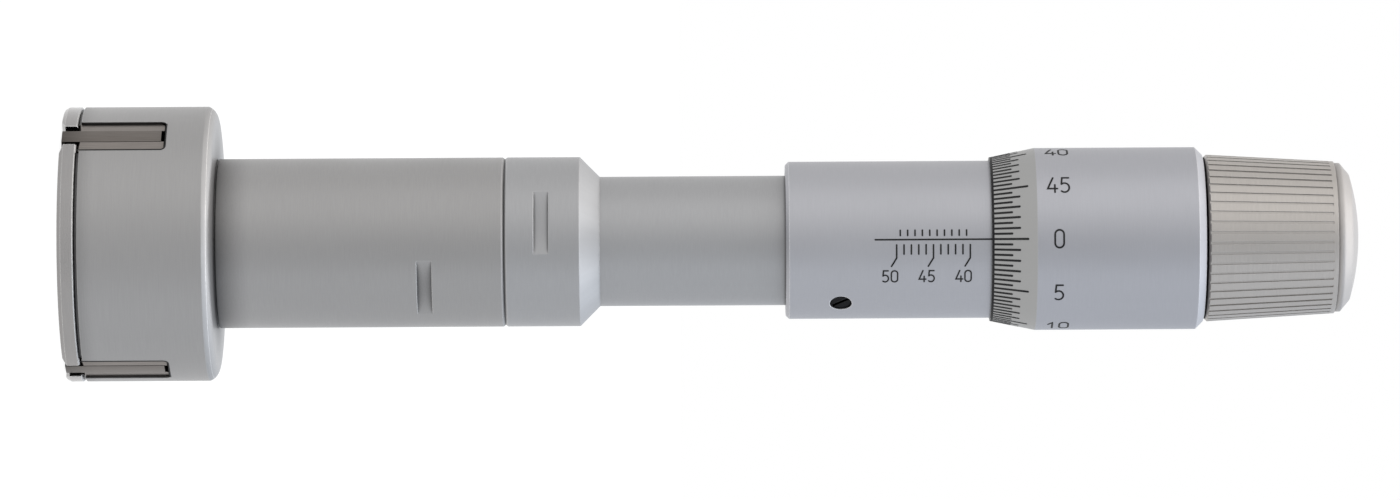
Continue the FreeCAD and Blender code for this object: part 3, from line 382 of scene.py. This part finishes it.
# %% Give each solid its metal
FINISHES = {
    "satin_chrome": satin_chrome,
    "scale_chrome": scale_chrome,
    "knob_chrome": knob_chrome,
    "jaw_steel": jaw_steel,
    "hard_insert": hard_insert,
    "plain_steel": plain_steel,
    "spring_steel": spring_steel,
    "black_steel": black_steel,
    "bronze": bronze,
}
OWN_FINISHES = {
    "front_cover": cover_chrome,
    "connecting_tube": tube_chrome,
    "thimble": thimble_chrome,
    "knob_cap": cap_chrome,
}
for entry in frame["record"]["subparts"]:
    solid = frame["nodes"][entry["node"]]
    solid.data.materials.clear()
    finish = OWN_FINISHES.get(entry["node"], FINISHES[entry["material_slot"]])
    solid.data.materials.append(finish)

# %% [markdown]
# ## Twins of the springs
# Five coil springs inside are squeezed as their neighbours move: one on the push rod,
# one in the ratchet and one behind each anvil. A rigid coil would cut through the piece
# that presses it. Here a twin of each spring's mesh stands for the solid and rides on a
# body. Two of the springs sit on the axis, and three at one distance from it and one height.


def close_spring(node, body):
    """Replace a spring by a twin of its mesh that rides on a body, and hide the spring."""
    coil = bpy.data.objects.new(node + "_coil", frame["nodes"][node].data.copy())
    bpy.context.collection.objects.link(coil)
    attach(coil, body)
    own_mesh(coil)
    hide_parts(node)


close_spring("rod_spring", "frame")
close_spring("ratchet_spring", "thimble_group")
for number in (1, 2, 3):
    close_spring(f"return_spring_{number}", "frame")

# %% [markdown]
# ## Scale marks
# The graduations are cut into the plating and filled with black. At this size the cut
# is a hair wide, so each mark is a thin inlay: a ribbon laid on the round surface that
# stands a hundredth of a millimetre proud. Marks are first drawn flat, as along (the
# part's +Z) and around (towards the picture's top), and then bent on to the cylinder or
# cone. Drawing flat keeps numerals easy, and bending afterwards keeps them exact.

# %% The ink
def build_scale_ink():
    """Black fill with a dull, slightly uneven surface."""
    material = bpy.data.materials.new("scale_ink")
    material.use_nodes = True
    tree = material.node_tree
    shader = tree.nodes["Principled BSDF"]
    speckle = add(tree, "Group", {"node_tree": matt_speckle}, Patches=400.0)
    shade = blend(tree, speckle.outputs["Patch"], (0.004, 0.004, 0.005, 1),
                  (0.012, 0.012, 0.011, 1))
    tree.links.new(shade, shader.inputs["Base Color"])
    shader.inputs["Roughness"].default_value = 0.6
    shader.inputs["Specular IOR Level"].default_value = 0.25
    return material


scale_ink = build_scale_ink()
print("material:", scale_ink.name)

# %% [markdown]
# A ribbon follows a path of points with the same width all along. At each point we need
# the direction square to the path. At a corner it is halfway between its neighbours'
# directions and a little longer, so that the width holds, but at most twice as long.
# Half circles close the ends, as a round cutter leaves them. Long runs are divided, so
# that they can follow a curve.

# %% Draw a ribbon
PROUD = 0.010
CAP_STEPS = 5
LONGEST_STEP = 0.25
LEAST_COSINE = 0.5


def divide(path, closed):
    """Put points along each straight run, no further apart than the longest step."""
    points = []
    ends = [*path[1:], path[0]] if closed else path[1:]
    for start, end in zip(path, ends):
        start, end = Vector(start), Vector(end)
        steps = max(math.ceil((end - start).length / LONGEST_STEP), 1)
        points += [start.lerp(end, step / steps) for step in range(steps)]
    return points if closed else [*points, Vector(path[-1])]


def ribbon(path, width, closed=False):
    """Faces of a flat ribbon, each a list of (along, around) corners in millimetres."""
    points = divide(path, closed)
    count = len(points)
    sides = []
    for index, point in enumerate(points):
        before = points[index - 1] if index or closed else point
        after = points[(index + 1) % count] if index < count - 1 or closed else point
        back = (point - before if before != point else after - point).normalized()
        ahead = (after - point).normalized() if after != point else back
        turn = (back + ahead).normalized()
        square = Vector((-turn.y, turn.x)) / max(turn.dot(ahead), LEAST_COSINE)
        sides.append((point + square * width / 2, point - square * width / 2))
    faces = []
    for index in range(count if closed else count - 1):
        here, there = sides[index], sides[(index + 1) % count]
        faces.append([here[0], here[1], there[1], there[0]])
    if not closed:
        for end, beside in ((points[0], points[1]), (points[-1], points[-2])):
            towards = end - beside
            start = math.atan2(towards.y, towards.x) - math.pi / 2
            angles = [start + math.pi * step / CAP_STEPS for step in range(CAP_STEPS + 1)]
            faces.append([end + Vector((math.cos(a), math.sin(a))) * width / 2 for a in angles])
    return faces


print("ribbon of a straight mark:", len(ribbon([(0, 0), (1, 0)], 0.1)), "faces")

# %% [markdown]
# The same faces are then bent round the axis. Each flat corner becomes a height and an
# angle, and the radius comes from the surface under it, which may be a cone. A Solidify
# modifier then sinks the ribbon into the metal, which closes it into a real inlay.

# %% Bend marks on to the metal
INLAY_DEPTH = 0.03
SAME_SPOT = 0.0005


def make_object(name, mesh, material):
    """Turn a finished bmesh into an object of one material, and put it in the scene."""
    data = bpy.data.meshes.new(name)
    mesh.to_mesh(data)
    mesh.free()
    data.materials.append(material)
    made = bpy.data.objects.new(name, data)
    bpy.context.collection.objects.link(made)
    return made


def lay_marks(name, faces, radius_at, body):
    """One object of flat faces, whose corners are (along, angle) in millimetres and radians."""
    mesh = bmesh.new()
    for corners in faces:
        spots = []
        for along, angle in corners:
            reach = (radius_at(along) + PROUD) * MM
            place = (-math.sin(angle) * reach, -math.cos(angle) * reach, along * MM)
            spots.append(mesh.verts.new(place))
        mesh.faces.new(spots)
    bmesh.ops.remove_doubles(mesh, verts=mesh.verts, dist=SAME_SPOT * MM)
    bmesh.ops.recalc_face_normals(mesh, faces=mesh.faces)
    marks = make_object(name, mesh, scale_ink)
    inlay = marks.modifiers.new("inlay", "SOLIDIFY")
    inlay.thickness = INLAY_DEPTH * MM
    inlay.offset = 0
    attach(marks, body)
    return marks


def bend(faces, radius, along, angle):
    """Turn flat (right, up) corners into (along, angle) about a place on a cylinder."""
    return [[(along + corner[0], angle + corner[1] / radius) for corner in face] for face in faces]


print("inlay depth:", INLAY_DEPTH, "mm")

# %% [markdown]
# ## Numerals
# The numerals are the plain single-stroke kind that an engraving machine cuts. Each is
# a few lines and arcs in a box one unit high. An arc is drawn from its centre, radii
# and two angles, so every curve in the set comes from one short function.

# %% Numerals as strokes
ARC_STEPS = 10
DIGIT_WIDTH = 0.5
DIGIT_STEP = 0.72


def arc(centre_x, centre_y, radius_x, radius_y, start, end):
    """Points along part of an oval, between two angles in degrees."""
    turns = [start + (end - start) * step / ARC_STEPS for step in range(ARC_STEPS + 1)]
    angles = [math.radians(turn) for turn in turns]
    return [(centre_x + radius_x * math.cos(a), centre_y + radius_y * math.sin(a)) for a in angles]


def numeral_strokes(digit):
    """The strokes of a numeral in a box 0.5 wide and 1 high, as (points, closed)."""
    if digit == "0":
        return [(arc(0.25, 0.75, 0.25, 0.25, 0, 180) + arc(0.25, 0.25, 0.25, 0.25, 180, 360), True)]
    if digit == "1":
        return [([(0.08, 0.72), (0.32, 1.0), (0.32, 0.0)], False)]
    if digit == "2":
        return [(arc(0.25, 0.75, 0.25, 0.25, 170, -30) + [(0.0, 0.0), (0.5, 0.0)], False)]
    if digit == "3":
        return [(arc(0.24, 0.77, 0.23, 0.23, 150, -85), False),
                (arc(0.24, 0.27, 0.26, 0.27, 85, -150), False)]
    if digit == "4":
        return [([(0.30, 1.0), (0.0, 0.24), (0.54, 0.24)], False),
                ([(0.40, 0.50), (0.40, 0.0)], False)]
    return [([(0.46, 1.0), (0.09, 1.0), (0.05, 0.54)], False),
            ([(0.05, 0.54), *arc(0.22, 0.31, 0.27, 0.31, 105, -130)], False)]


def number_faces(text, height, stroke):
    """A number's flat faces, centred on its own middle."""
    step = DIGIT_STEP * height
    start = -step * (len(text) - 1) / 2 - DIGIT_WIDTH / 2 * height
    faces = []
    for index, digit in enumerate(text):
        for points, closed in numeral_strokes(digit):
            path = [(start + step * index + x * height, (y - 0.5) * height) for x, y in points]
            faces += ribbon(path, stroke, closed)
    return faces


print("faces of 45:", len(number_faces("45", 2.5, 0.15)))

# %% [markdown]
# ## The sleeve's scale
# One line runs along the sleeve to the thimble. Whole millimetres hang below it, from
# 50 down to 40, and half millimetres stand above. The marks at 50, 45 and 40 are longer
# and kink aside to their numbers. This part rests at 37.00 mm, just short of the scale.

# %% Rule the sleeve
SLEEVE_RADIUS = 10.775
MARK_WIDTH = 0.21
FIRST_MARK_AT = 113.4
LAST_READING = 50
FIRST_READING = 40
NUMBERED_STEP = 5
INDEX_START = 110.5
INDEX_END = 127.2
WHOLE_PATH = [(0, -0.72), (0, -1.98)]
LONG_PATH = [(0, -0.72), (0, -2.52), (-0.70, -3.70)]
HALF_PATH = [(0.5, 0.55), (0.5, 1.27)]
NUMERAL_HEIGHT, NUMERAL_STROKE = 1.70, 0.19
NUMERAL_SHIFT, NUMERAL_DROP = 0.9, 5.2


def sleeve_radius(along):
    """The same radius all along, because the sleeve is a plain cylinder."""
    return SLEEVE_RADIUS


def rule_sleeve():
    """The long line with its whole and half millimetre marks."""
    faces = bend(ribbon([(INDEX_START, 0), (INDEX_END, 0)], MARK_WIDTH), SLEEVE_RADIUS, 0, 0)
    for reading in range(FIRST_READING, LAST_READING + 1):
        at = FIRST_MARK_AT + LAST_READING - reading
        path = WHOLE_PATH if reading % NUMBERED_STEP else LONG_PATH
        faces += bend(ribbon(path, MARK_WIDTH), SLEEVE_RADIUS, at, 0)
        if reading > FIRST_READING:
            faces += bend(ribbon(HALF_PATH, MARK_WIDTH), SLEEVE_RADIUS, at, 0)
    return lay_marks("sleeve_scale", faces, sleeve_radius, "frame")


def number_sleeve():
    """The numbers at the ends of the long marks."""
    faces = []
    for reading in range(FIRST_READING, LAST_READING + 1, NUMBERED_STEP):
        at = FIRST_MARK_AT + LAST_READING - reading - NUMERAL_SHIFT
        numeral = number_faces(str(reading), NUMERAL_HEIGHT, NUMERAL_STROKE)
        faces += bend(numeral, SLEEVE_RADIUS, at, -NUMERAL_DROP / SLEEVE_RADIUS)
    return lay_marks("sleeve_numbers", faces, sleeve_radius, "frame")


sleeve_scale = rule_sleeve()
sleeve_numbers = number_sleeve()
for marks in (sleeve_scale, sleeve_numbers):
    print(marks.name, len(marks.data.polygons), "faces")

# %% [markdown]
# ## The thimble's scale
# The thimble's tapered edge carries 50 divisions of a hundredth of a millimetre and a
# half mark between each two. Every fifth is longest and has its number on the cylinder
# behind. The marks follow the taper, so their radius is worked out along the cone. A
# thin black ring at the very edge, where the thimble ends over the sleeve, is painted
# shadow: it stands for the dark shadow in the gap there.

# %% Rule the thimble
THIMBLE_EDGE_AT = 126.4
THIMBLE_EDGE_RADIUS = 11.2
THIMBLE_RADIUS = 12.475
TAPER_LENGTH = 6.1
DIVISIONS = 50
MARKS_START = 0.3
HALF_MARK, WHOLE_MARK, FIFTH_MARK = 2.8, 3.85, 4.95
CONE_MARK_WIDTH = 0.27
NUMBERS_AT = 135.45
THIMBLE_NUMERAL_HEIGHT, THIMBLE_NUMERAL_STROKE = 2.42, 0.235
EDGE_SHADOW_START, EDGE_SHADOW_END = -0.02, 0.27
RING_STEPS = 180


def thimble_radius(along):
    """The radius at a height: it grows along the taper and is then the cylinder's."""
    share = min(max((along - THIMBLE_EDGE_AT) / TAPER_LENGTH, 0), 1)
    return THIMBLE_EDGE_RADIUS + (THIMBLE_RADIUS - THIMBLE_EDGE_RADIUS) * share


def rule_thimble():
    """The marks round the taper, in three lengths."""
    faces = []
    for half in range(DIVISIONS * 2):
        length = HALF_MARK if half % 2 else WHOLE_MARK
        if half % (NUMBERED_STEP * 2) == 0:
            length = FIFTH_MARK
        angle = -math.pi * half / DIVISIONS
        path = [(MARKS_START, 0), (length - CONE_MARK_WIDTH / 2, 0)]
        faces += bend(ribbon(path, CONE_MARK_WIDTH), THIMBLE_EDGE_RADIUS, THIMBLE_EDGE_AT, angle)
    return lay_marks("thimble_scale", faces, thimble_radius, "thimble_group")


def number_thimble():
    """The numbers behind the longest marks."""
    faces = []
    for value in range(0, DIVISIONS, NUMBERED_STEP):
        angle = -2 * math.pi * value / DIVISIONS
        numeral = number_faces(str(value), THIMBLE_NUMERAL_HEIGHT, THIMBLE_NUMERAL_STROKE)
        faces += bend(numeral, THIMBLE_RADIUS, NUMBERS_AT, angle)
    return lay_marks("thimble_numbers", faces, thimble_radius, "thimble_group")


# The ring at the edge is painted shadow, laid in black ink.
def ring_edge():
    """A painted shadow round the thimble's front edge, where it ends over the sleeve."""
    near, far = THIMBLE_EDGE_AT + EDGE_SHADOW_START, THIMBLE_EDGE_AT + EDGE_SHADOW_END
    faces = []
    for step in range(RING_STEPS):
        start, end = 2 * math.pi * step / RING_STEPS, 2 * math.pi * (step + 1) / RING_STEPS
        faces.append([(near, start), (far, start), (far, end), (near, end)])
    return lay_marks("thimble_edge_shadow", faces, thimble_radius, "thimble_group")


thimble_scale = rule_thimble()
thimble_numbers = number_thimble()
edge_shadow = ring_edge()
for marks in (thimble_scale, thimble_numbers, edge_shadow):
    print(marks.name, len(marks.data.polygons), "faces")

# %% [markdown]
# ## Painted shadows round the anvils
# Each anvil slides in a slot with a hair of play, and the gap reads as a crisp black
# line of shadow. The gap itself is in the solids, but at this distance it is thinner than
# a ray can find. So a fine black line on the head's side paints that shadow, along the
# slot's edge nearer the camera and round the slot's end. The dictionary gives each
# slot's angle and the side where its line goes.

# %% Line the anvil slots
HEAD_RADIUS = 18.8
SLOT_FRONT, SLOT_END = 2.36, 14.34
SLOT_HALF = 3.175
SLOT_CORNER = 0.7
SEAM_WIDTH = 0.17
SHADOW_SIDES = {52.5: -1, -67.5: 1, 172.5: -1}


def head_surface(along):
    """The same radius all along, because the head's side is a plain cylinder there."""
    return HEAD_RADIUS


def line_slots():
    """One painted shadow line for each slot, along its edge nearer the camera and round its end."""
    turn_at = SLOT_END - SLOT_CORNER
    inner = SLOT_HALF - SLOT_CORNER
    corner = arc(turn_at, inner, SLOT_CORNER, SLOT_CORNER, 90, 0)
    path = [(SLOT_FRONT, SLOT_HALF), *corner, (SLOT_END, -inner)]
    faces = []
    # Each line is painted shadow, on the slot's side nearer the camera.
    for clock, side in SHADOW_SIDES.items():
        edge = ribbon([(x, y * side) for x, y in path], SEAM_WIDTH)
        faces += bend(edge, HEAD_RADIUS, 0, math.radians(clock))
    return lay_marks("slot_shadow_lines", faces, head_surface, "frame")


slot_shadow_lines = line_slots()
print("slot lines:", len(slot_shadow_lines.data.polygons), "faces")

# %% [markdown]
# ## The band at the head's corner
# Where the head's side turns to its rear face, the corner is ground to a narrow band
# that catches the overhead light. The solid has the corner's round. Here we lay the band
# over it as a thin ring that follows the round, with a smoother metal whose normal leans
# up the axis as the ground face does. Its tone is lighter than the head's: a painted highlight.

# %% Lay the corner band
CORNER_START = 19.50
BAND_RINGS = [(0.0, 18.735), (0.30, 18.605), (0.60, 18.413)]
BAND_LEAN = 36
# The band's lighter tone is a painted highlight.
band_highlight_chrome = steel("band_highlight_chrome", (0.52, 0.51, 0.50), rough=0.16, grain=0.02,
                    edge_tone=(0.52, 0.51, 0.50), seam=0.3, lean=BAND_LEAN)


def lay_band():
    """A thin closed ring through the band's three radii."""
    mesh = bmesh.new()
    loops = []
    angles = [2 * math.pi * step / RING_STEPS for step in range(RING_STEPS)]
    for rise, reach in BAND_RINGS:
        height = CORNER_START + rise
        spots = [Vector((math.sin(a) * reach, -math.cos(a) * reach, height)) * MM for a in angles]
        loops.append([mesh.verts.new(spot) for spot in spots])
    for lower, upper in zip(loops, loops[1:]):
        for step in range(RING_STEPS):
            after = (step + 1) % RING_STEPS
            mesh.faces.new((lower[step], lower[after], upper[after], upper[step]))
    band = make_object("head_corner_band", mesh, band_highlight_chrome)
    inlay = band.modifiers.new("inlay", "SOLIDIFY")
    inlay.thickness = INLAY_DEPTH * MM
    inlay.offset = -1
    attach(band, "frame")
    return band


corner_band = lay_band()
print("corner band:", len(corner_band.data.polygons), "faces")

# %% [markdown]
# ## The floor
# The part stands on a pale floor that melts into the white background. To the camera,
# and in reflections, the floor is mostly plain white light. To everything else it is a
# pale matt surface, so the shadow under the part stays. It lies a hair below the part,
# because two faces at one height would show through each other in patches.

# %% Lay the floor
FLOOR_REACH = 30.0
FLOOR_DROP = 0.02
FLOOR_GLOW = 0.9
FLOOR_TONE = 0.85
FLOOR_WHITE = 1.04


def build_floor_material():
    """Nearly white light to the camera, and a matt surface to the lamps."""
    material = bpy.data.materials.new("pale_floor")
    material.use_nodes = True
    tree = material.node_tree
    tree.nodes.clear()
    rays = add(tree, "LightPath")
    seen = calculate(tree, "MAXIMUM", rays.outputs["Is Camera Ray"], rays.outputs["Is Glossy Ray"])
    seen = calculate(tree, "MAXIMUM", seen, rays.outputs["Is Transmission Ray"])
    matt = add(tree, "BsdfDiffuse", Color=(FLOOR_TONE, FLOOR_TONE, FLOOR_TONE, 1)).outputs[0]
    white = add(tree, "Emission", Color=(1, 1, 1, 1), Strength=FLOOR_WHITE).outputs[0]
    share = calculate(tree, "MULTIPLY", seen, FLOOR_GLOW)
    mixed = add(tree, "MixShader", n0=share, n1=matt, n2=white).outputs[0]
    add(tree, "OutputMaterial", Surface=mixed)
    return material


def lay_floor():
    """A square sheet that reaches past the picture on all sides."""
    mesh = bmesh.new()
    bmesh.ops.create_grid(mesh, x_segments=2, y_segments=2, size=FLOOR_REACH)
    floor = make_object("floor", mesh, build_floor_material())
    floor.location.z = -FLOOR_DROP * MM
    return floor


floor = lay_floor()
print(floor.name, "lies at", round(floor.location.z / MM, 3), "mm")

# %% [markdown]
# ## The studio
# Small steel parts are photographed in a white tent, since metal shows whatever stands
# around it. The world is that tent, seen by direction alone. It is bright overhead,
# where the lamp shines through the cloth: faces that look up the axis, such as the
# chamfers, show that. It has a dim opening for the lens, a little below the picture's
# middle, which puts a soft grey band along every cylinder. Its lower half is cooler.

# %% The white tent
LENS_OPENING = (0.20, -0.97, -0.14)
OPENING_EDGE, OPENING_CORE = 0.80, 0.995
OPENING_LEVEL = 0.42
SIDE_LEVEL = 0.92
OVERHEAD_START, OVERHEAD_FULL = 0.05, 0.95
OVERHEAD_GAIN = 0.95
TINT_REACH = 0.6
UPPER_TINT = (1.0, 0.992, 0.985, 1)
LOWER_TINT = (0.900, 0.955, 1.030, 1)


def build_tent():
    """The tent as a level and a tint that depend on direction, behind a plain white."""
    world = bpy.data.worlds.new("tent")
    bpy.context.scene.world = world
    world.use_nodes = True
    tree = world.node_tree
    tree.nodes.clear()
    towards = add(tree, "TexCoord").outputs["Generated"]
    parts = add(tree, "SeparateXYZ", n0=towards)
    facing = add(tree, "VectorMath", {"operation": "DOT_PRODUCT"}, n0=towards,
                 n1=LENS_OPENING).outputs["Value"]
    opening = add(tree, "MapRange", {"interpolation_type": "SMOOTHSTEP"}, Value=facing,
                  From_Min=OPENING_EDGE, From_Max=OPENING_CORE, To_Min=SIDE_LEVEL,
                  To_Max=OPENING_LEVEL).outputs[0]
    above = add(tree, "MapRange", {"interpolation_type": "SMOOTHSTEP"}, Value=parts.outputs["Z"],
                From_Min=OVERHEAD_START, From_Max=OVERHEAD_FULL, To_Min=1.0,
                To_Max=1 + OVERHEAD_GAIN).outputs[0]
    level = calculate(tree, "MULTIPLY", opening, above)
    side = add(tree, "MapRange", {"interpolation_type": "SMOOTHSTEP"}, Value=parts.outputs["X"],
               From_Min=-TINT_REACH, From_Max=TINT_REACH).outputs[0]
    tint = blend(tree, side, UPPER_TINT, LOWER_TINT)
    rays = add(tree, "LightPath")
    tent = add(tree, "Background", Color=tint, Strength=level).outputs[0]
    backdrop = add(tree, "Background", Color=(1, 1, 1, 1), Strength=1.0).outputs[0]
    mixed = add(tree, "MixShader", n0=rays.outputs["Is Camera Ray"], n1=tent,
                n2=backdrop).outputs[0]
    add(tree, "OutputWorld", Surface=mixed)
    return world


tent = build_tent()
print(tent.name, "levels:", OPENING_LEVEL, "to", round(SIDE_LEVEL * (1 + OVERHEAD_GAIN), 3))

# %% [markdown]
# Two soft lamps finish the light. One stands over the part, and gives the faint shadow
# under its head. One stands on the picture's upper side, so that the top of each
# cylinder is a little brighter than its underside. Both are wide and weak: the metal
# must not show them as hard streaks.

# %% Soft lamps
def soft_lamp(name, place, aim, width, power):
    """A square soft lamp at a place, facing an aim."""
    data = bpy.data.lights.new(name, "AREA")
    data.size = width
    data.energy = power
    lamp = bpy.data.objects.new(name, data)
    lamp.location = place
    lamp.rotation_euler = (Vector(aim) - Vector(place)).to_track_quat("-Z", "Y").to_euler()
    bpy.context.collection.objects.link(lamp)
    return lamp


MIDDLE = (0, 0, 0.09)
overhead = soft_lamp("overhead_lamp", (0.0, 0.1, 1.4), MIDDLE, width=1.2, power=3.0)
upper_side = soft_lamp("upper_side_lamp", (-1.3, -0.9, 0.3), MIDDLE, width=1.4, power=1.6)
print("lamps:", overhead.name, upper_side.name)

# %% Finish
bpy.context.view_layer.update()
